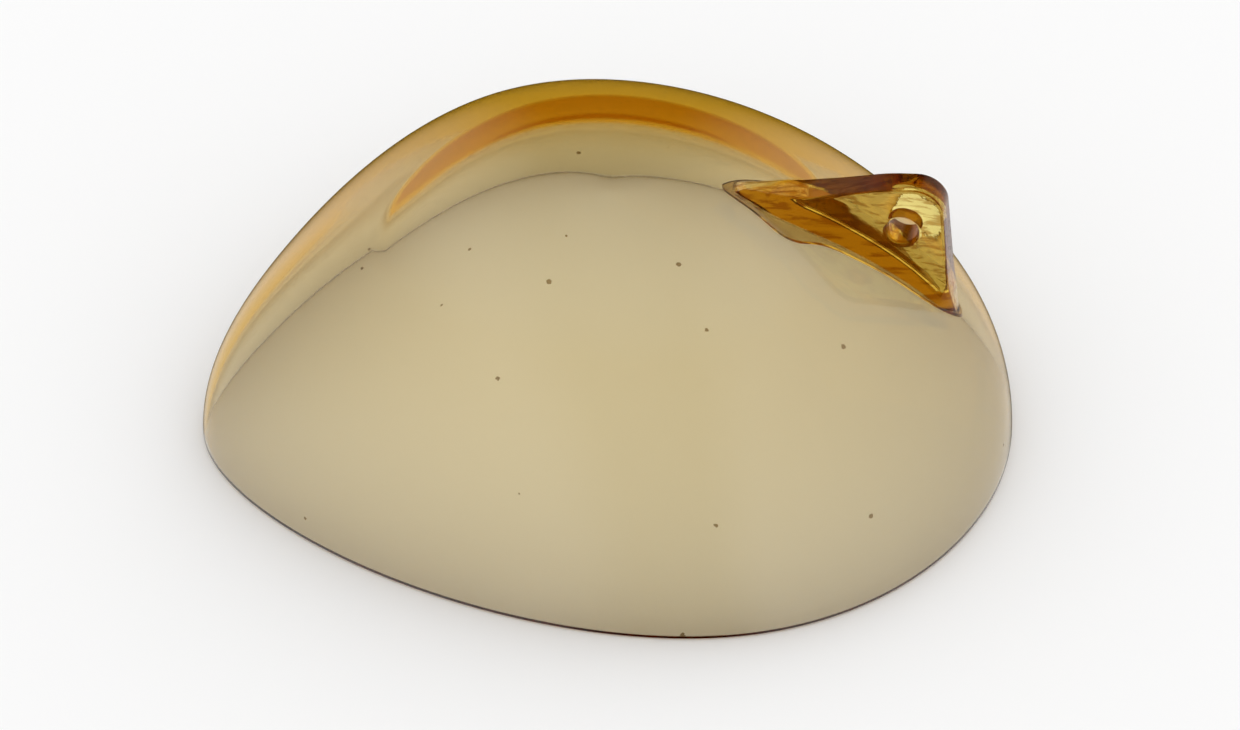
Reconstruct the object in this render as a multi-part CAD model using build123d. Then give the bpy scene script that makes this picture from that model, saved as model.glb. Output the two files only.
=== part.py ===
from build123d import *

import os
from math import cos, radians, sin, tan

# A surgical eye shield of clear plastic: an oval dome that lies on its rim, and a fin to hold it by.
# Millimetres. The rim lies at height zero, the long side runs along X and the crown is up, on Z.

# Shell
shell_length = 26.0
shell_breadth = 22.9
shell_height = 8.8
rim_wall = 0.36
flank_wall = 0.65
ring_wall = 0.90
crown_wall = 0.70
rim_round = 0.13

# Poles of the rim's closed curve, as shares of half the length and half the breadth
outline_shares = (
    (1.06, 0.19),
    (0.44, 0.96),
    (-0.42, 1.11),
    (-0.96, 0.12),
    (-1.08, -0.31),
    (-0.50, -0.87),
    (0.37, -1.11),
    (0.97, -0.61),
)
# Size of the even oval that the rim's curve turns into below the crown, as shares of the same halves
crown_shares = (1.13, 1.03)
# How far the wall stands upright at the rim, and how far it lies flat at the crown
fullness_share = 0.56
# Where the vault over the cornea starts, from the rim at 0 to the crown at 1
ring_share = 0.62

# Fin: placed by its mid-plane, which stands upright
tab_turn = -13.0
tab_offset = 1.01
tab_start = 3.50
tab_length = 6.93
tab_rise = 1.65
tab_corner_round = 0.90
tab_end_lean = 5.4
nose_sink = 0.12
web_thickness = 0.92
web_draft = 1.5
edge_round = 0.10
# How far the fin runs down past the dome at its outer end, before the dome is cut away from it
root_depth = 1.60
# Top edge of the fin from the hidden start of its nose, as shares of its length and its rise
top_edge_shares = ((0.00, 0.00), (0.09, 0.18), (0.38, 0.33), (0.74, 0.82), (1.00, 1.00))
top_edge_bends = (0.8, 3.0, 6.0)

# Foot of the fin, and how steeply its outer end runs out below the web
foot_width = 1.60
foot_height = 1.10
foot_flare = 10.5
foot_flare_rise = 0.90
foot_flare_round = 12.0
crease_round = 0.20
# Places along the foot as shares of the fin's length, with the foot's width on the dome, the web's
# width and the height of the crease between them there, as shares of their own sizes
foot_shares = (
    (0.00, 0.15, 0.10, 0.10),
    (0.05, 0.45, 0.19, 0.27),
    (0.14, 0.78, 0.38, 0.42),
    (0.27, 1.00, 0.78, 0.75),
    (0.36, 1.03, 1.00, 0.88),
    (0.50, 1.03, 1.00, 0.99),
    (0.70, 0.98, 1.00, 1.03),
    (0.88, 0.91, 1.00, 0.96),
    (0.96, 0.88, 1.00, 0.99),
    (1.04, 0.86, 1.00, 1.16),
    (1.13, 0.85, 1.00, 1.45),
)
# Rounding of the foot's outer end in plan: an ellipse, longer than wide
foot_end_length = 0.98
foot_end_width = 1.46
foot_end_reach = 0.64

# Hole through the web
hole_diameter = 1.04
hole_from_end = 1.17
hole_below_top = 1.84
hole_round = 0.11

# Cured cement that stands out round the foot as a thin film, with a wider pool beside the nose
bead_height = 0.10
# Plan of the bead, as shares of the fin's length and half the foot's width
bead_shares = (
    (-0.01, 0.00),
    (0.04, 0.44),
    (0.12, 0.82),
    (0.27, 1.12),
    (0.50, 1.14),
    (0.80, 1.06),
    (0.98, 0.90),
    (1.07, 0.52),
    (1.11, 0.00),
    (1.07, -0.54),
    (0.98, -0.94),
    (0.80, -1.06),
    (0.61, -1.18),
    (0.52, -1.24),
    (0.45, -1.42),
    (0.38, -1.72),
    (0.32, -1.74),
    (0.24, -1.44),
    (0.15, -0.98),
    (0.05, -0.56),
)

# Depth by which hidden ends and cutting tools run past what they meet
overrun = 0.60
# How closely the dome's height is searched for, as a share of the whole height
search_share = 0.0001

half_length = shell_length / 2
half_breadth = shell_breadth / 2
along = Vector(cos(radians(tab_turn)), sin(radians(tab_turn)), 0)
across = Vector(-along.Y, along.X, 0)


def span(poles, i):
    """Four Bezier points of one span of the closed cubic curve through a ring of poles."""
    a, b, c, d = (poles[(i + k) % len(poles)] for k in (-1, 0, 1, 2))
    return [(a + b * 4 + c) / 6, (b * 2 + c) / 3, (b + c * 2) / 3, (b + c * 4 + d) / 6]


def dome_rings():
    """Four rings of poles of the outer surface, from the rim to the crown."""
    count = len(outline_shares)
    rim = [Vector(x * half_length, y * half_breadth, 0) for x, y in outline_shares]
    turns = [radians(360 * (i + 0.5) / count) for i in range(count)]
    oval = [
        Vector(crown_shares[0] * half_length * cos(t), crown_shares[1] * half_breadth * sin(t), 0)
        for t in turns
    ]
    crown = Vector(0, 0, shell_height)
    return [
        rim,
        [p + crown * fullness_share for p in rim],
        [p * fullness_share + crown for p in oval],
        [crown] * count,
    ]


def split_rings(rings, share):
    """The same surface as two, parted at a share of the way up: seven rings, the fourth in both."""
    def mix(low, high):
        return [p + (q - p) * share for p, q in zip(low, high)]

    first = [mix(rings[k], rings[k + 1]) for k in range(3)]
    second = [mix(first[k], first[k + 1]) for k in range(2)]
    joint = mix(second[0], second[1])
    return [rings[0], first[0], second[0], joint, second[1], first[2], rings[3]]


def inner_rings(rings, walls):
    """Rings of poles moved into the plastic, by one wall for each ring."""
    count = len(rings[0])
    easing = (2 + cos(radians(360 / count))) / 3
    moved = []
    for k, wall in enumerate(walls):
        ring = []
        for i in range(count):
            side = rings[min(k, len(rings) - 2)]
            around = side[(i + 1) % count] - side[i - 1]
            legs = [rings[j + 1][i] - rings[j][i] for j in (k - 1, k) if 0 <= j < len(rings) - 1]
            normals = [around.cross(leg).normalized() for leg in legs]
            if k == len(rings) - 1:
                normals = [Vector(0, 0, 1)]
            out = normals[0] + normals[-1]
            out = out / (1 + normals[0].dot(normals[-1]))
            spread = 1 if k == len(rings) - 1 else easing
            ring.append(rings[k][i] - out * (wall / spread))
        moved.append(ring)
    return moved


def dome(ring_groups):
    """A closed solid under smooth patches, each group of four rings giving one belt of them."""
    base = ring_groups[0][0]
    count = len(base)
    patches = [
        Face.make_bezier_surface([span(ring, i) for ring in rings])
        for rings in ring_groups
        for i in range(count)
    ]
    floor = Face(Wire([Edge.make_bezier(*span(base, i)) for i in range(count)]))
    return Solid(Shell(patches + [floor]))


def outer_dome():
    """The outside of the shell as a full body."""
    return dome([dome_rings()])


def make_shell(outside):
    """The dome with its walls: thin at the rim, thickest where the vault over the cornea starts."""
    walls = [rim_wall, flank_wall, ring_wall, ring_wall, crown_wall, crown_wall, crown_wall]
    rings = inner_rings(split_rings(dome_rings(), ring_share), walls)
    shell = outside - dome([rings[:4], rings[3:]])
    rim_edges = shell.edges().filter_by(lambda e: abs(e.center().Z) < rim_round / 2)
    return fillet(rim_edges, rim_round)


def surface_height(outside, place):
    """Height of the dome's outer surface over a place in the rim's plane."""
    low, high = 0, shell_height
    while high - low > shell_height * search_share:
        middle = (low + high) / 2
        if outside.is_inside(Vector(place.X, place.Y, middle)):
            low = middle
        else:
            high = middle
    return low


def fin_place(distance):
    """Place in the rim's plane on the fin's mid-plane, a distance along the fin."""
    return across * tab_offset + along * (tab_start + distance)


def fin_levels(outside):
    """Heights of the fin's hidden bottom, of its nose's hidden start and of its top."""
    low = surface_height(outside, fin_place(tab_length)) - root_depth
    base = surface_height(outside, fin_place(0)) - nose_sink
    return low, base, base + tab_rise


def fin_slab(low, base, top):
    """The fin's side outline as a thick slab: top edge, rounded corner, leaning end, flared foot."""
    knee = low + root_depth + foot_flare_rise
    knee_place = tab_length + (top - knee) * tan(radians(tab_end_lean))
    foot_end = knee_place + (knee - low) * tan(radians(foot_flare))
    edge = [(x * tab_length, base + z * tab_rise) for x, z in top_edge_shares]
    outline = FilletPolyline(
        *edge, (knee_place, knee), (foot_end, low), (0, low), close=True,
        radius=[0, *top_edge_bends, tab_corner_round, foot_flare_round, 0, 0],
    )
    side = Plane(origin=fin_place(0), x_dir=along, z_dir=-across)
    return extrude(side * make_face(outline), amount=foot_width, both=True)


def fin_end(low, top):
    """Upright body that rounds the fin's outer end in plan and is wider than the fin elsewhere."""
    centre = tab_length + foot_end_reach - foot_end_length
    half = foot_end_width / 2
    tip = EllipticalCenterArc((centre, 0), foot_end_length, half, start_angle=-90, arc_size=180)
    sides = Polyline((centre, half), (-overrun, foot_width), (-overrun, -foot_width), (centre, -half))
    plan = Plane(origin=fin_place(0) + Vector(0, 0, low - overrun), x_dir=along, z_dir=(0, 0, 1))
    return extrude(plan * make_face([tip, sides]), amount=top - low + 2 * overrun)


def fin_section(outside, top, place, foot_share, web_share, crease_share):
    """Upright section across the fin: flanks up to the crease, then the web's two faces."""
    point = fin_place(place * tab_length)
    ground = surface_height(outside, point)
    crease = ground + foot_height * crease_share
    draft = tan(radians(web_draft))
    foot_half = foot_width / 2 * foot_share
    web_half = (web_thickness / 2 + (top - crease) * draft) * web_share
    low_half = foot_half + (foot_half - web_half) / (crease - ground) * overrun
    top_half = web_half - (top + overrun - crease) * draft * web_share
    right = [(low_half, ground - overrun), (web_half, crease), (top_half, top + overrun)]
    left = [(-x, z) for x, z in reversed(right)]
    level = Plane(origin=point, x_dir=across, z_dir=along)
    return level * make_face(Polyline(*right, *left, close=True))


def hole_tool(top):
    """The cylinder that bores the web, square to it."""
    point = fin_place(tab_length - hole_from_end) + Vector(0, 0, top - hole_below_top)
    axis = Plane(origin=point, z_dir=across)
    return extrude(axis * Circle(hole_diameter / 2), amount=foot_width, both=True)


def loose_edges(before, tool, after, outside):
    """Edges that a cut has left above the dome."""
    edges = new_edges(before, tool, combined=after)
    return edges.filter_by(lambda e: not outside.is_inside(e @ 0.5))


def fin_body(outside, top):
    """Foot and web as one smooth body with softened creases, before its outline is cut."""
    body = loft([fin_section(outside, top, *shares) for shares in foot_shares])
    seams = body.edges().filter_by(lambda e: e.length > tab_length).sort_by(lambda e: (e @ 0.5).Z)
    creases = seams[2:4]
    return fillet(creases, crease_round)


def make_handle_tab(outside):
    """The fin: foot and web in one piece, bored, rounded and seated on the dome."""
    low, base, top = fin_levels(outside)
    body = fin_body(outside, top)
    for tool in (fin_slab(low, base, top), fin_end(low, top)):
        cut = body & tool
        body = fillet(loose_edges(body, tool, cut, outside), edge_round)
    bore = hole_tool(top)
    bored = body - bore
    mouths = new_edges(body, bore, combined=bored).filter_by(GeomType.LINE, reverse=True)
    return fillet(mouths, hole_round) - outside


def make_bond_bead(outside, handle):
    """The film of cured cement on the dome round the fin's foot."""
    raised = dome([inner_rings(dome_rings(), [-bead_height] * 4)])
    frame = Plane(origin=fin_place(0), x_dir=along, z_dir=(0, 0, 1))
    places = [(x * tab_length, y * foot_width / 2) for x, y in bead_shares]
    plan = frame * make_face(Spline(*places, periodic=True))
    return (raised & extrude(plan, amount=shell_height + overrun)) - outside - handle


if __name__ == "__main__":
    os.makedirs("parts", exist_ok=True)
    outside = outer_dome()
    handle_tab = make_handle_tab(outside)
    pieces = {
        "shell": make_shell(outside),
        "handle_tab": handle_tab,
        "bond_bead": make_bond_bead(outside, handle_tab),
    }
    for name, piece in pieces.items():
        export_step(piece, f"parts/{name}.step")
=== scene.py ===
"""A surgical eye shield of clear amber plastic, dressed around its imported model.

The shield lies on its rim, with its long side along X and its crown up. Every length is in metres.
"""

import logging
import math
from dataclasses import dataclass
from enum import Enum
from typing import ClassVar

import bmesh
import bpy
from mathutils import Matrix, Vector
from mathutils.bvhtree import BVHTree

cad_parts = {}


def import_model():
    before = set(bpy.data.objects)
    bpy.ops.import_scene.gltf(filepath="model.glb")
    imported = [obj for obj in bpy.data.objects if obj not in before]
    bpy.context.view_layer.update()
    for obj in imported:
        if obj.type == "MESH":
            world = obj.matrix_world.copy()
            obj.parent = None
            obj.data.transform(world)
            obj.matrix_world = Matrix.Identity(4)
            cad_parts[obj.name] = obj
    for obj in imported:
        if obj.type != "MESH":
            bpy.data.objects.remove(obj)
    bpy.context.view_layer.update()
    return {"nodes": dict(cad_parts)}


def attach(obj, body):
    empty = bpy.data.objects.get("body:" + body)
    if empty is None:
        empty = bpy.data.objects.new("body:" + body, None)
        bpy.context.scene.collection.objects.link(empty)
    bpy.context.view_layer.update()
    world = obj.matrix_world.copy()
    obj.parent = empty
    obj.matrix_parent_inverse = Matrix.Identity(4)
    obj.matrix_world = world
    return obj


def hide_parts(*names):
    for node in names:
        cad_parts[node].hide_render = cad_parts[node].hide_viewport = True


Tree = bpy.types.NodeTree
Socket = bpy.types.NodeSocket
Triple = tuple[float, float, float]
Colour = Triple

LOG = logging.getLogger("eye_shield")
MM = 0.001
WHITE: Colour = (1.0, 1.0, 1.0)
# Light runs a long way inside the wall before it leaves, and each turn there is a bounce
INNER_BOUNCES = 14
# A ray's depth counts whole bounces, so a depth below this is none at all
NO_BOUNCE = 0.5
# Vertex attribute that is 1 on the shell's outer skin and 0 on its inner one
OUTER_SKIN = "outside"
# A Mix node keeps sockets for each type of value, and they are told apart by number alone
COLOUR_UNDER, COLOUR_OVER, COLOUR_OUT = 6, 7, 2
NUMBER_UNDER, NUMBER_OVER, NUMBER_OUT = 2, 3, 0


class Speck(Enum):
    """What the small marks on a surface are."""

    DUST = "dust"
    NONE = "none"


def link(tree: Tree, source: Socket, target: Socket) -> None:
    """Joins two sockets."""
    tree.links.new(source, target)


def feed(tree: Tree, value: Socket | float, target: Socket) -> None:
    """Gives an input either a link or a plain number.

    Args:
        tree: the tree that holds the input.
        value: an output to link, or a number.
        target: the input.
    """
    if isinstance(value, bpy.types.NodeSocket):
        link(tree, value, target)
    else:
        target.default_value = value


def compute(tree: Tree, operation: str, *values: Socket | float, clamp: bool = False) -> Socket:
    """Adds a Math node.

    Args:
        tree: the tree to add to.
        operation: the node's operation.
        values: one output or number for each input.
        clamp: whether the result stays between 0 and 1.

    Returns:
        The node's output.
    """
    node = tree.nodes.new("ShaderNodeMath")
    node.operation = operation
    node.use_clamp = clamp
    for value, target in zip(values, node.inputs):
        feed(tree, value, target)
    return node.outputs[0]


def ramp(tree: Tree, value: Socket, ends: tuple[float, float], level: float = 1.0) -> Socket:
    """Adds a smooth rise from 0 to a level.

    Args:
        tree: the tree to add to.
        value: what the rise follows.
        ends: where the rise starts and where it ends.
        level: how high it rises.

    Returns:
        The node's output.
    """
    node = tree.nodes.new("ShaderNodeMapRange")
    node.interpolation_type = "SMOOTHSTEP"
    node.inputs["From Min"].default_value, node.inputs["From Max"].default_value = ends
    node.inputs["To Min"].default_value = 0.0
    node.inputs["To Max"].default_value = level
    link(tree, value, node.inputs["Value"])
    return node.outputs["Result"]


def noise(
    tree: Tree, place: Socket, scale: float, detail: float, warp: float = 0.0
) -> bpy.types.Node:
    """Adds a Noise Texture.

    Args:
        tree: the tree to add to.
        place: the coordinates that it reads.
        scale: its scale.
        detail: its detail.
        warp: its distortion.

    Returns:
        The node.
    """
    node = tree.nodes.new("ShaderNodeTexNoise")
    node.inputs["Scale"].default_value = scale
    node.inputs["Detail"].default_value = detail
    node.inputs["Distortion"].default_value = warp
    link(tree, place, node.inputs["Vector"])
    return node


def turned(tree: Tree, place: Socket, degrees: Triple, stretch: Triple) -> Socket:
    """Adds a Mapping node that turns and stretches coordinates.

    Args:
        tree: the tree to add to.
        place: the coordinates.
        degrees: the turn about X, Y and Z.
        stretch: the scale along X, Y and Z.

    Returns:
        The new coordinates.
    """
    node = tree.nodes.new("ShaderNodeMapping")
    node.inputs["Rotation"].default_value = [math.radians(d) for d in degrees]
    node.inputs["Scale"].default_value = stretch
    link(tree, place, node.inputs["Vector"])
    return node.outputs["Vector"]


def overlay(tree: Tree, mask: Socket, under: Socket | None, over: Colour) -> Socket:
    """Lays a plain colour over another colour where a mask is 1.

    Args:
        tree: the tree to add to.
        mask: where the plain colour shows.
        under: the colour below, or nothing for white.
        over: the plain colour.

    Returns:
        The mixed colour.
    """
    node = tree.nodes.new("ShaderNodeMix")
    node.data_type = "RGBA"
    node.inputs[COLOUR_UNDER].default_value = (*WHITE, 1.0)
    node.inputs[COLOUR_OVER].default_value = (*over, 1.0)
    link(tree, mask, node.inputs["Factor"])
    if under is not None:
        link(tree, under, node.inputs[COLOUR_UNDER])
    return node.outputs[COLOUR_OUT]


@dataclass(frozen=True)
class SurfaceEffect:
    """A shader node group, built once and placed in each material with its own amounts."""

    name: ClassVar[str]
    amounts: ClassVar[tuple[str, ...]]
    results: ClassVar[tuple[str, ...]] = ("Mask",)

    def wire(self, tree: Tree, entry: bpy.types.Node) -> tuple[Socket, ...]:
        """Adds the effect's own nodes and gives its results in order."""
        raise NotImplementedError

    def group(self) -> Tree:
        """Builds the group once and returns it.

        Returns:
            The node tree, with a Vector and the amounts as inputs and the results as outputs.
        """
        if self.name in bpy.data.node_groups:
            return bpy.data.node_groups[self.name]
        tree = bpy.data.node_groups.new(self.name, "ShaderNodeTree")
        face = tree.interface
        face.new_socket("Vector", in_out="INPUT", socket_type="NodeSocketVector")
        for amount in self.amounts:
            face.new_socket(amount, in_out="INPUT", socket_type="NodeSocketFloat")
        for result in self.results:
            face.new_socket(result, in_out="OUTPUT", socket_type="NodeSocketFloat")
        entry = tree.nodes.new("NodeGroupInput")
        leave = tree.nodes.new("NodeGroupOutput")
        for result, source in zip(self.results, self.wire(tree, entry)):
            link(tree, source, leave.inputs[result])
        return tree

    def place(self, tree: Tree, where: Socket, *values: float) -> bpy.types.Node:
        """Places the group in a material.

        Args:
            tree: the material's node tree.
            where: the coordinates that the effect follows.
            values: one number for each amount.

        Returns:
            The group's node.
        """
        node = tree.nodes.new("ShaderNodeGroup")
        node.node_tree = self.group()
        link(tree, where, node.inputs["Vector"])
        for amount, value in zip(self.amounts, values):
            node.inputs[amount].default_value = value
        return node


@dataclass(frozen=True)
class PolishWear(SurfaceEffect):
    """Fine polishing marks and a slow waviness."""

    name: ClassVar[str] = "polish_wear"
    amounts: ClassVar[tuple[str, ...]] = ("Streaks", "Waves", "Base Roughness")
    results: ClassVar[tuple[str, ...]] = ("Roughness", "Height")
    streak_scale: float = 10800.0
    streak_stretch: Triple = (1.0, 0.06, 1.0)
    streak_turn: Triple = (0.0, 0.0, 24.0)
    streak_detail: float = 2.0
    wave_scale: float = 260.0
    wave_detail: float = 1.0
    roughness_range: float = 0.03

    def wire(self, tree: Tree, entry: bpy.types.Node) -> tuple[Socket, ...]:
        """Adds the marks and the waves.

        Args:
            tree: the group's tree.
            entry: the group's inputs.

        Returns:
            The roughness and the height.
        """
        where = entry.outputs["Vector"]
        along = turned(tree, where, self.streak_turn, self.streak_stretch)
        streaks = noise(tree, along, self.streak_scale, self.streak_detail).outputs["Fac"]
        waves = noise(tree, where, self.wave_scale, self.wave_detail).outputs["Fac"]
        marks = compute(tree, "MULTIPLY", streaks, entry.outputs["Streaks"])
        height = compute(tree, "MULTIPLY_ADD", waves, entry.outputs["Waves"], marks)
        base = entry.outputs["Base Roughness"]
        return compute(tree, "MULTIPLY_ADD", streaks, self.roughness_range, base), height


@dataclass(frozen=True)
class DustSpecks(SurfaceEffect):
    """Sparse small specks with ragged edges, each of its own size."""

    name: ClassVar[str] = "dust_specks"
    amounts: ClassVar[tuple[str, ...]] = ("Scale", "Size", "Share")
    ragged_scale: float = 9000.0
    ragged_detail: float = 2.0
    ragged_shift: float = 0.12 * MM

    def wire(self, tree: Tree, entry: bpy.types.Node) -> tuple[Socket, ...]:
        """Adds one speck to each of a share of the cells of a pattern.

        Args:
            tree: the group's tree.
            entry: the group's inputs.

        Returns:
            The mask of the specks.
        """
        where = entry.outputs["Vector"]
        ragged = noise(tree, where, self.ragged_scale, self.ragged_detail)
        shifted = tree.nodes.new("ShaderNodeVectorMath")
        shifted.operation = "MULTIPLY_ADD"
        shifted.inputs[1].default_value = (self.ragged_shift,) * 3
        link(tree, ragged.outputs["Color"], shifted.inputs[0])
        link(tree, where, shifted.inputs[2])
        cells = tree.nodes.new("ShaderNodeTexVoronoi")
        link(tree, shifted.outputs[0], cells.inputs["Vector"])
        link(tree, entry.outputs["Scale"], cells.inputs["Scale"])
        chance = tree.nodes.new("ShaderNodeSeparateColor")
        link(tree, cells.outputs["Color"], chance.inputs["Color"])
        size = compute(tree, "MULTIPLY", chance.outputs["Green"], entry.outputs["Size"])
        near = compute(tree, "LESS_THAN", cells.outputs["Distance"], size)
        chosen = compute(tree, "LESS_THAN", chance.outputs["Red"], entry.outputs["Share"])
        return (compute(tree, "MULTIPLY", near, chosen),)


@dataclass(frozen=True)
class SandingLines(SurfaceEffect):
    """Fine wavy lines from sanding the fin by hand."""

    name: ClassVar[str] = "sanding_lines"
    amounts: ClassVar[tuple[str, ...]] = ("Amount",)
    turn: Triple = (0.0, 22.0, 13.0)
    stretch: Triple = (0.10, 1.0, 1.0)
    scale: float = 5200.0
    detail: float = 3.0
    waver: float = 0.4
    line_ends: tuple[float, float] = (0.48, 0.62)

    def wire(self, tree: Tree, entry: bpy.types.Node) -> tuple[Socket, ...]:
        """Adds the lines.

        Args:
            tree: the group's tree.
            entry: the group's inputs.

        Returns:
            The mask of the lines.
        """
        along = turned(tree, entry.outputs["Vector"], self.turn, self.stretch)
        lines = noise(tree, along, self.scale, self.detail, self.waver).outputs["Fac"]
        cut = ramp(tree, lines, self.line_ends)
        return (compute(tree, "MULTIPLY", cut, entry.outputs["Amount"]),)


@dataclass(frozen=True)
class AmberPlastic:
    """Clear plastic: polished walls over an inside that takes up light.

    Absorption is how fast red, green and blue die away inside, per metre. The two tints are painted
    shade laid by ray type on light that leaves by the outside: the first on what came straight
    through, the second on what was reflected inside.
    """

    name: str
    absorption: Triple
    painted_shade_straight: Colour
    painted_shade_reflected: Colour
    skin_attribute: str = ""
    index: float = 1.49
    base_roughness: float = 0.015
    streaks: float = 1.0
    waves: float = 1.0
    bump_strength: float = 0.02
    bump_distance: float = 0.02 * MM
    specks: Speck = Speck.NONE
    speck_scale: float = 620.0
    speck_size: float = 0.058
    speck_share: float = 1.0
    speck_tint: Colour = (0.20, 0.13, 0.07)
    grain: float = 0.0
    grain_tint: Colour = (0.35, 0.16, 0.03)
    shine_tint: Colour = WHITE

    def build(self) -> bpy.types.Material:
        """Builds the material.

        Returns:
            The finished material.
        """
        material = bpy.data.materials.new(self.name)
        material.use_nodes = True
        tree = material.node_tree
        shader = tree.nodes["Principled BSDF"]
        shader.inputs["Transmission Weight"].default_value = 1.0
        shader.inputs["IOR"].default_value = self.index
        shader.inputs["Specular Tint"].default_value = (*self.shine_tint, 1.0)
        where = tree.nodes.new("ShaderNodeTexCoord").outputs["Object"]
        wear = PolishWear().place(tree, where, self.streaks, self.waves, self.base_roughness)
        bump = tree.nodes.new("ShaderNodeBump")
        bump.inputs["Strength"].default_value = self.bump_strength
        bump.inputs["Distance"].default_value = self.bump_distance
        link(tree, wear.outputs["Height"], bump.inputs["Height"])
        link(tree, bump.outputs["Normal"], shader.inputs["Normal"])
        link(tree, wear.outputs["Roughness"], shader.inputs["Roughness"])
        link(tree, self.surface_colour(tree, where), shader.inputs["Base Color"])
        self.fill(tree)
        return material

    def surface_colour(self, tree: Tree, where: Socket) -> Socket:
        """Colours what the light passes at the surface: specks, sanding lines and the painted shade
        of the two tints.

        Args:
            tree: the material's node tree.
            where: the coordinates that the marks follow.

        Returns:
            The colour.
        """
        share = self.speck_share if self.specks is Speck.DUST else 0.0
        dust = DustSpecks().place(tree, where, self.speck_scale, self.speck_size, share)
        colour = overlay(tree, dust.outputs["Mask"], None, self.speck_tint)
        if self.grain > 0:
            lines = SandingLines().place(tree, where, self.grain)
            colour = overlay(tree, lines.outputs["Mask"], colour, self.grain_tint)
        straight, reflected = self.painted_shade_masks(tree)
        # Painted shade: light that leaves by the outside after passing straight through is darkened
        colour = overlay(tree, straight, colour, self.painted_shade_straight)
        # Painted shade: light that leaves by the outside after reflecting inside is darkened
        return overlay(tree, reflected, colour, self.painted_shade_reflected)

    def painted_shade_masks(self, tree: Tree) -> tuple[Socket, Socket]:
        """Finds light that leaves the plastic by its outside, where the painted shade goes.

        Args:
            tree: the material's node tree.

        Returns:
            The masks of the painted shade: light that came straight through, and light reflected
                inside.
        """
        ways = tree.nodes.new("ShaderNodeLightPath")
        leaving = tree.nodes.new("ShaderNodeNewGeometry").outputs["Backfacing"]
        if self.skin_attribute:
            skin = tree.nodes.new("ShaderNodeAttribute")
            skin.attribute_name = self.skin_attribute
            leaving = compute(tree, "MULTIPLY", leaving, skin.outputs["Fac"])
        # Rays that come from the floor pass without this painted shade, so that the shadow stays
        # pale
        unscattered = compute(tree, "LESS_THAN", ways.outputs["Diffuse Depth"], NO_BOUNCE)
        through = compute(tree, "MULTIPLY", ways.outputs["Is Transmission Ray"], unscattered)
        return (
            compute(tree, "MULTIPLY", leaving, through),
            compute(tree, "MULTIPLY", leaving, ways.outputs["Is Reflection Ray"]),
        )

    def fill(self, tree: Tree) -> None:
        """Fills the plastic with its absorption, as a volume.

        Args:
            tree: the material's node tree.
        """
        density = max(self.absorption)
        inside = tree.nodes.new("ShaderNodeVolumeAbsorption")
        inside.inputs["Density"].default_value = density
        inside.inputs["Color"].default_value = (*(1 - a / density for a in self.absorption), 1.0)
        link(tree, inside.outputs["Volume"], tree.nodes["Material Output"].inputs["Volume"])


# Painted shade on the shell: a darker tan on light through the far wall, and an orange tint on
# light reflected inside the wall
SHELL_FINISH = AmberPlastic(
    "amber_plastic",
    absorption=(60.0, 150.0, 440.0),
    painted_shade_straight=(0.27, 0.22, 0.11),
    painted_shade_reflected=(0.52, 0.23, 0.003),
    skin_attribute=OUTER_SKIN,
    specks=Speck.DUST,
)
# Painted shade on the tab: a slight darkening of light that passes straight through, and a
# near-black tint on light reflected inside
FIN_FINISH = AmberPlastic(
    "amber_plastic_tab",
    absorption=(60.0, 220.0, 1200.0),
    painted_shade_straight=(0.95, 0.92, 0.85),
    painted_shade_reflected=(0.085, 0.017, 0.0001),
    bump_strength=0.05,
    grain=0.9,
    shine_tint=(0.55, 0.28, 0.04),
)
# Painted shade on the cement: a darker tint on light through it, and a near-black tint on light
# reflected inside that paints dark lines along the bead's upright edges
CEMENT_FINISH = AmberPlastic(
    "clear_cement",
    absorption=(100.0, 400.0, 1500.0),
    painted_shade_straight=(0.45, 0.28, 0.08),
    painted_shade_reflected=(0.03, 0.010, 0.001),
    waves=2.0,
)


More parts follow.
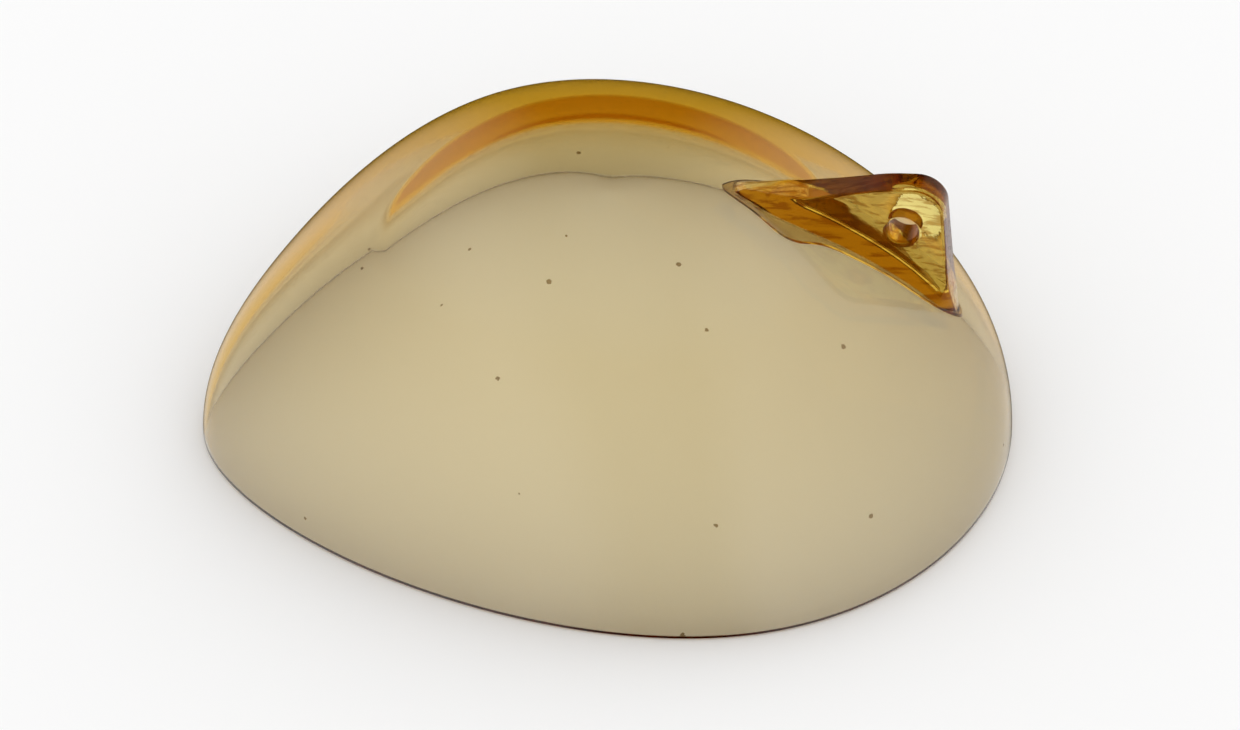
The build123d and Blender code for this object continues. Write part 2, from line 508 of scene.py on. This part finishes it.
@dataclass
class ShellDome:
    """The oval shell: two smooth skins over rings of poles, joined by a rounded rim."""

    length: float = 26.0 * MM
    breadth: float = 22.9 * MM
    height: float = 8.8 * MM
    rim_wall: float = 0.36 * MM
    flank_wall: float = 0.65 * MM
    ring_wall: float = 0.90 * MM
    crown_wall: float = 0.70 * MM
    rim_round: float = 0.12 * MM
    rim_segments: int = 5
    outline_shares: tuple[tuple[float, float], ...] = (
        (1.06, 0.19), (0.44, 0.96), (-0.42, 1.11), (-0.96, 0.12),
        (-1.08, -0.31), (-0.50, -0.87), (0.37, -1.11), (0.97, -0.61),
    )
    crown_shares: tuple[float, float] = (1.13, 1.03)
    fullness_share: float = 0.56
    ring_share: float = 0.62
    steps_round: int = 240
    rows: int = 84

    def poles(self) -> list[list[Vector]]:
        """Places the outside's poles.

        Returns:
            Four rings of poles, from the rim to the crown.
        """
        half = Vector((self.length / 2, self.breadth / 2, 0.0))
        wide, deep = self.crown_shares
        count = len(self.outline_shares)
        rim = [Vector((x * half.x, y * half.y, 0.0)) for x, y in self.outline_shares]
        turns = [math.radians(360 * (i + 0.5) / count) for i in range(count)]
        oval = [
            Vector((wide * half.x * math.cos(t), deep * half.y * math.sin(t), 0.0))
            for t in turns
        ]
        crown = Vector((0.0, 0.0, self.height))
        return [
            rim,
            [p + crown * self.fullness_share for p in rim],
            [p * self.fullness_share + crown for p in oval],
            [crown] * count,
        ]

    @staticmethod
    def split(rings: list[list[Vector]], share: float) -> list[list[Vector]]:
        """Parts one surface in two at a share of the way up.

        Args:
            rings: four rings of poles.
            share: where to part it, from 0 at the first ring to 1 at the last.

        Returns:
            Seven rings, the fourth in both surfaces.
        """
        def mix(low: list[Vector], high: list[Vector]) -> list[Vector]:
            """Points a share of the way from one ring to the next."""
            return [p.lerp(q, share) for p, q in zip(low, high)]

        first = [mix(rings[k], rings[k + 1]) for k in range(3)]
        second = [mix(first[k], first[k + 1]) for k in range(2)]
        joint = mix(second[0], second[1])
        return [rings[0], first[0], second[0], joint, second[1], first[2], rings[3]]

    @staticmethod
    def inset(rings: list[list[Vector]], walls: list[float]) -> list[list[Vector]]:
        """Moves rings of poles into the plastic, by one wall for each ring.

        Args:
            rings: the rings of poles, from the rim up.
            walls: the wall at each ring.

        Returns:
            The moved rings.
        """
        count = len(rings[0])
        # A closed cubic curve runs inside its poles, and moves less than they do
        easing = (2 + math.cos(math.radians(360 / count))) / 3
        last = len(rings) - 1
        moved = []
        for k, wall in enumerate(walls):
            ring = []
            for i in range(count):
                if k == last:
                    ring.append(rings[k][i] - Vector((0.0, 0.0, wall)))
                    continue
                around = rings[k][(i + 1) % count] - rings[k][i - 1]
                legs = [rings[j + 1][i] - rings[j][i] for j in (k - 1, k) if j >= 0]
                normals = [around.cross(leg).normalized() for leg in legs]
                out = (normals[0] + normals[-1]) / (1 + normals[0].dot(normals[-1]))
                ring.append(rings[k][i] - out * (wall / easing))
            moved.append(ring)
        return moved

    @staticmethod
    def on_ring(ring: list[Vector], turn: float) -> Vector:
        """Finds a point of the closed cubic curve that a ring of poles draws.

        Args:
            ring: the poles.
            turn: how far round the point lies, counted in poles.

        Returns:
            The point.
        """
        i = int(turn)
        t = turn - i
        a, b, c, d = (ring[(i + k) % len(ring)] for k in (-1, 0, 1, 2))
        return (
            a * (1 - t) ** 3
            + b * (3 * t**3 - 6 * t**2 + 4)
            + c * (1 + 3 * t + 3 * t**2 - 3 * t**3)
            + d * t**3
        ) / 6

    def row(self, rings: list[list[Vector]], rise: float) -> list[Vector]:
        """Finds the points round the surface at one height.

        Args:
            rings: the surface's four rings of poles.
            rise: the height, from 0 at the first ring to 1 at the last.

        Returns:
            The points.
        """
        fall = 1 - rise
        weights = (fall**3, 3 * rise * fall**2, 3 * rise**2 * fall, rise**3)
        count = len(self.outline_shares)
        places = []
        for step in range(self.steps_round):
            turn = count * step / self.steps_round
            points = [self.on_ring(ring, turn) for ring in rings]
            places.append(sum((p * w for p, w in zip(points, weights)), Vector()))
        return places

    def skin(
        self, mesh: bmesh.types.BMesh, groups: list[list[list[Vector]]]
    ) -> list[bmesh.types.BMEdge]:
        """Draws one skin up from the rim, row by row, and closes it at the crown.

        Args:
            mesh: the mesh to add to.
            groups: four rings of poles for each belt of the skin.

        Returns:
            The edges of the rim.
        """
        shares = [1.0] if len(groups) == 1 else [self.ring_share, 1 - self.ring_share]
        levels = []
        for rings, share in zip(groups, shares):
            count = round(self.rows * share)
            levels += [(rings, k / count) for k in range(1, count + 1)]
        start = bmesh.ops.create_circle(mesh, segments=self.steps_round, radius=self.length / 2)
        ring = start["verts"]
        for vert, place in zip(ring, self.row(groups[0], 0.0)):
            vert.co = place
        rim = list(dict.fromkeys(edge for vert in ring for edge in vert.link_edges))
        edges = rim
        for rings, rise in levels:
            grown = bmesh.ops.extrude_edge_only(mesh, edges=edges)["geom"]
            edges = [item for item in grown if isinstance(item, bmesh.types.BMEdge)]
            fresh = {item for item in grown if isinstance(item, bmesh.types.BMVert)}
            ring = [
                next(e.other_vert(vert) for e in vert.link_edges if e.other_vert(vert) in fresh)
                for vert in ring
            ]
            for vert, place in zip(ring, self.row(rings, rise)):
                vert.co = place
        bmesh.ops.pointmerge(mesh, verts=ring, merge_co=groups[-1][3][0])
        return rim

    def build(self) -> bpy.types.Object:
        """Builds the shell.

        Returns:
            The shell's object, riding on the root body.
        """
        outer = self.poles()
        walls = [self.rim_wall, self.flank_wall] + [self.ring_wall] * 2 + [self.crown_wall] * 3
        inner = self.inset(self.split(outer, self.ring_share), walls)
        mesh = bmesh.new()
        outside = mesh.verts.layers.float.new(OUTER_SKIN)
        rims = self.skin(mesh, [outer])
        for vert in mesh.verts:
            vert[outside] = 1.0
        rims += self.skin(mesh, [inner[:4], inner[3:]])
        bmesh.ops.bridge_loops(mesh, edges=rims)
        bmesh.ops.bevel(
            mesh, geom=rims, offset=self.rim_round, segments=self.rim_segments, profile=0.5,
            affect="EDGES", offset_type="OFFSET", clamp_overlap=True, material=-1,
        )
        bmesh.ops.recalc_face_normals(mesh, faces=mesh.faces[:])
        for face in mesh.faces:
            face.smooth = True
        return finish_piece(mesh, "eye_shell", "shell")

    def outside_tree(self) -> BVHTree:
        """Makes a search tree over the outside alone.

        Returns:
            The tree.
        """
        mesh = bmesh.new()
        self.skin(mesh, [self.poles()])
        tree = BVHTree.FromBMesh(mesh)
        mesh.free()
        return tree


@dataclass
class BondedPiece:
    """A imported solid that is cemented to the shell, smooth-shaded and a hair's breadth off it."""

    node: str
    name: str
    slot: str
    gap: float = 0.015 * MM
    reach: float = 0.012 * MM
    weld: float = 0.0005 * MM
    crease: float = 25.0

    def build(self, source: bpy.types.Object, outside: BVHTree) -> bpy.types.Object:
        """Copies the solid, welds it, lifts what touches the shell and smooths its shading.

        Args:
            source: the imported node.
            outside: the shell's outside.

        Returns:
            The piece, riding on the root body.
        """
        mesh = bmesh.new()
        mesh.from_mesh(source.data)
        bmesh.ops.remove_doubles(mesh, verts=mesh.verts[:], dist=self.weld)
        for vert in mesh.verts:
            place, normal, _, distance = outside.find_nearest(vert.co)
            if distance < self.reach:
                vert.co = place + (normal if normal.z > 0 else -normal) * self.gap
        for face in mesh.faces:
            face.smooth = True
        for edge in mesh.edges:
            edge.smooth = edge.calc_face_angle(0.0) < math.radians(self.crease)
        return finish_piece(mesh, self.name, self.node)


def finish_piece(mesh: bmesh.types.BMesh, name: str, node: str) -> bpy.types.Object:
    """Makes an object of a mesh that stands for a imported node.

    Args:
        mesh: the finished mesh, which is freed.
        name: the piece's name.
        node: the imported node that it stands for.

    Returns:
        The new object, riding on the root body.
    """
    data = bpy.data.meshes.new(name)
    mesh.to_mesh(data)
    mesh.free()
    piece = bpy.data.objects.new(name, data)
    bpy.context.collection.objects.link(piece)
    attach(piece, "root")
    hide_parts(node)
    LOG.info("built %s with %d faces", name, len(data.polygons))
    return piece


@dataclass(frozen=True)
class Studio:
    """Pale floor, soft light from all round, one soft lamp, and the camera."""

    floor_size: float = 3.0
    floor_gap: float = 0.02 * MM
    floor_colour: Colour = (0.94, 0.94, 0.94)
    floor_roughness: float = 0.9
    sky_level: float = 1.0
    screen_edges: tuple[float, float] = (0.10, 0.45)
    screen_level: float = 0.85
    top_edges: tuple[float, float] = (0.30, 0.95)
    top_level: float = 0.06
    lamp_power: float = 0.9
    lamp_size: float = 1.0
    lamp_place: Triple = (0.55, 0.55, 0.45)
    aim: Triple = (0.0, 0.0, 0.003)
    distance: float = 0.200
    elevation: float = 0.744
    lens: float = 181.6
    shift: tuple[float, float] = (0.00819, -0.03725)
    clip_start: float = 0.01

    def add_floor(self) -> None:
        """Lays the floor a hair under the rim, out of sight of the plastic's reflections."""
        bpy.ops.mesh.primitive_plane_add(size=self.floor_size)
        floor = bpy.context.object
        floor.name = "floor"
        material = bpy.data.materials.new("floor_paper")
        material.use_nodes = True
        shader = material.node_tree.nodes["Principled BSDF"]
        shader.inputs["Base Color"].default_value = (*self.floor_colour, 1.0)
        shader.inputs["Roughness"].default_value = self.floor_roughness
        shader.inputs["Specular IOR Level"].default_value = 0.0
        floor.data.materials.append(material)
        floor.location.z = -self.floor_gap
        floor.visible_glossy = False

    def add_sky(self) -> None:
        """Surrounds the scene with even white light.

        Reflections show dim screens at both sides and a faint glow above in its place.
        """
        world = bpy.data.worlds.new("studio")
        bpy.context.scene.world = world
        world.use_nodes = True
        tree = world.node_tree
        back = tree.nodes["Background"]
        back.inputs["Color"].default_value = (*WHITE, 1.0)
        place = tree.nodes.new("ShaderNodeTexCoord")
        parts = tree.nodes.new("ShaderNodeSeparateXYZ")
        link(tree, place.outputs["Generated"], parts.inputs[0])
        sideways = compute(tree, "ABSOLUTE", parts.outputs["X"])
        screens = ramp(tree, sideways, self.screen_edges, self.screen_level)
        above = ramp(tree, parts.outputs["Z"], self.top_edges, self.top_level)
        ways = tree.nodes.new("ShaderNodeLightPath")
        # A diffuse ray is one that was reflected as well, and it gets the even light
        bounced, scattered = ways.outputs["Is Reflection Ray"], ways.outputs["Is Diffuse Ray"]
        mirrored = compute(tree, "SUBTRACT", bounced, scattered, clamp=True)
        strength = tree.nodes.new("ShaderNodeMix")
        strength.inputs[NUMBER_UNDER].default_value = self.sky_level
        link(tree, compute(tree, "MAXIMUM", screens, above), strength.inputs[NUMBER_OVER])
        link(tree, mirrored, strength.inputs["Factor"])
        link(tree, strength.outputs[NUMBER_OUT], back.inputs["Strength"])

    def add_lamp(self) -> None:
        """Hangs one large soft lamp behind and above, out of sight of reflections."""
        lamp = bpy.data.lights.new("soft_box", "AREA")
        lamp.energy = self.lamp_power
        lamp.size = self.lamp_size
        holder = bpy.data.objects.new("soft_box", lamp)
        bpy.context.collection.objects.link(holder)
        holder.location = self.lamp_place
        holder.visible_glossy = False
        look = Vector(self.aim) - Vector(self.lamp_place)
        holder.rotation_euler = look.to_track_quat("-Z", "Y").to_euler()

    def add_camera(self) -> None:
        """Sets the camera at the photograph's angle."""
        data = bpy.data.cameras.new("camera")
        data.lens = self.lens
        data.shift_x, data.shift_y = self.shift
        data.clip_start = self.clip_start
        camera = bpy.data.objects.new("camera", data)
        bpy.context.collection.objects.link(camera)
        back = Vector((0.0, -math.cos(self.elevation), math.sin(self.elevation)))
        camera.location = Vector(self.aim) + back * self.distance
        camera.rotation_euler = (-back).to_track_quat("-Z", "Y").to_euler()
        bpy.context.scene.camera = camera

    def build(self) -> None:
        """Builds floor, light and camera."""
        self.add_floor()
        self.add_sky()
        self.add_lamp()
        self.add_camera()


def dress(piece: bpy.types.Object, finish: AmberPlastic) -> None:
    """Gives a piece one finish.

    Args:
        piece: the piece.
        finish: the finish of its whole surface.
    """
    piece.data.materials.clear()
    piece.data.materials.append(finish.build())
    LOG.info("dressed %s with %s", piece.name, finish.name)


def main() -> None:
    """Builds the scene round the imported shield."""
    logging.basicConfig(level=logging.INFO)
    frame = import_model()
    scene = bpy.context.scene
    scene.view_settings.view_transform = "Standard"
    scene.cycles.max_bounces = INNER_BOUNCES
    scene.cycles.glossy_bounces = INNER_BOUNCES
    scene.cycles.transmission_bounces = INNER_BOUNCES
    Studio().build()
    dome = ShellDome()
    dress(dome.build(), SHELL_FINISH)
    outside = dome.outside_tree()
    fin = BondedPiece("handle_tab", "handle_fin", "amber_plastic_tab")
    dress(fin.build(frame["nodes"]["handle_tab"], outside), FIN_FINISH)
    cement = BondedPiece("bond_bead", "cement_bead", "clear_cement")
    dress(cement.build(frame["nodes"]["bond_bead"], outside), CEMENT_FINISH)


if __name__ == "__main__":
    main()
